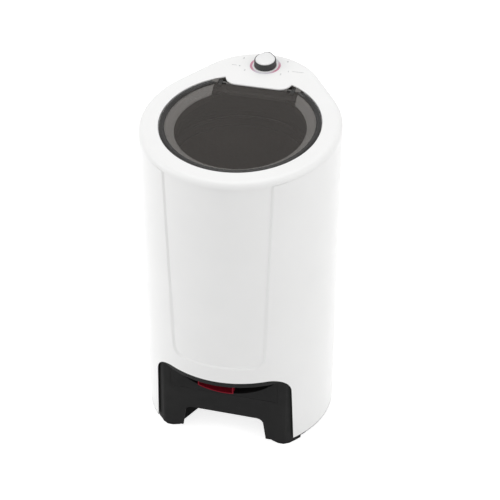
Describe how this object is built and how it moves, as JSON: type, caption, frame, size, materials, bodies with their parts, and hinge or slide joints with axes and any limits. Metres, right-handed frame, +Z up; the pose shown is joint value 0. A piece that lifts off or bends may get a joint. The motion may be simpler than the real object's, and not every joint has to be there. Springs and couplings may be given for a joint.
{
  "type": "spin dryer",
  "caption": "Free-standing upright spin dryer: teardrop cabinet with a sloping smoked lid, spinning basket, timer knob, drain spout and a base arched for a basin.",
  "frame": {"origin": "on the floor, under the middle of the bounding box", "axes": "+Z up, the front with the drain spout towards -Y, the timer knob and the hinge towards +Y"},
  "size_m": [0.4198, 0.4676, 0.7743],
  "materials": {
    "white_plastic": "smooth, slightly glossy",
    "black_plastic": "fine satin",
    "charcoal_plastic": "satin",
    "smoked_plastic": "polished, smoked and translucent",
    "red_plastic": "smooth",
    "grey_plastic": "plain",
    "rubber": "matt",
    "stainless_steel": "perforated stainless sheet",
    "plain_steel": "plated",
    "cast_aluminium": "as cast",
    "brake_lining": "fibrous lining"
  },
  "bodies": {
    "cabinet": {"cabinet_shell": "white_plastic", "top_cover": "white_plastic", "splash_ring": "white_plastic", "mouth_sleeve": "rubber", "base_frame": "black_plastic", "base_floor": "black_plastic", "base_arch": "black_plastic", "spout_housing": "black_plastic", "foot_pad_front_right": "rubber", "foot_pad_front_left": "rubber", "foot_pad_rear_right": "rubber", "foot_pad_rear_left": "rubber", "drain_spout": "red_plastic", "drain_hose": "rubber", "outer_tub": "grey_plastic", "tub_cover": "white_plastic", "shaft_seal": "rubber", "motor_upper_cap": "cast_aluminium", "motor_lower_cap": "cast_aluminium", "motor_housing": "black_plastic", "stator": "plain_steel", "lower_bearing": "plain_steel", "upper_bearing": "plain_steel", "motor_bracket": "plain_steel", "rubber_mount_1": "rubber", "rubber_mount_2": "rubber", "rubber_mount_3": "rubber", "mount_bolt_1": "plain_steel", "mount_bolt_2": "plain_steel", "mount_bolt_3": "plain_steel", "capacitor": "grey_plastic", "capacitor_clip": "plain_steel", "brake_bracket": "plain_steel", "brake_spring": "plain_steel", "brake_cable": "black_plastic", "wiring_harness": "black_plastic", "hinge_bracket": "black_plastic", "lid_switch": "grey_plastic", "timer_body": "grey_plastic", "cord_gland": "black_plastic", "shell_screw_right": "plain_steel", "shell_screw_left": "plain_steel"},
    "lid": {"lid": "smoked_plastic", "hinge_pin_left": "plain_steel", "hinge_pin_right": "plain_steel", "brake_crank": "plain_steel", "switch_cam": "grey_plastic"},
    "spinner": {"spin_basket": "stainless_steel", "balance_ring": "grey_plastic", "basket_hub": "plain_steel", "hub_nut": "plain_steel", "drive_shaft": "plain_steel", "rotor": "plain_steel", "brake_drum": "charcoal_plastic"},
    "knob": {"timer_knob": "charcoal_plastic", "knob_cap": "white_plastic", "timer_shaft": "plain_steel"},
    "brake": {"brake_lever": "plain_steel", "brake_shoe": "brake_lining"},
    "plunger": {"switch_plunger": "plain_steel"}
  },
  "joints": [
    {"name": "lid_hinge", "type": "hinge", "parent": "cabinet", "child": "lid", "pos_m": [0, 0.11013, 0.73773], "axis": [-1, 0, 0], "range_deg": [0, 105]},
    {"name": "basket_spin", "type": "hinge", "parent": "cabinet", "child": "spinner", "pos_m": [0, -0.02375, 0.262], "axis": [0, 0, 1], "continuous": true},
    {"name": "timer_turn", "type": "hinge", "parent": "cabinet", "child": "knob", "pos_m": [0, 0.18028, 0.75321], "axis": [0, 0.1193, -0.9929], "range_deg": [0, 300]},
    {"name": "brake_pivot", "type": "hinge", "parent": "cabinet", "child": "brake", "pos_m": [0.048, 0.01025, 0.0935], "axis": [0, 0, -1], "range_deg": [0, 3.6]},
    {"name": "switch_travel", "type": "slide", "parent": "cabinet", "child": "plunger", "axis": [0, -0.1193, 0.9929], "range_m": [0, 0.0019]}
  ],
  "couplings": [
    {"joint": "brake_pivot", "follows": "lid_hinge", "ratio": 0.033},
    {"joint": "switch_travel", "follows": "lid_hinge", "m_per_rad": 0.00098}
  ]
}
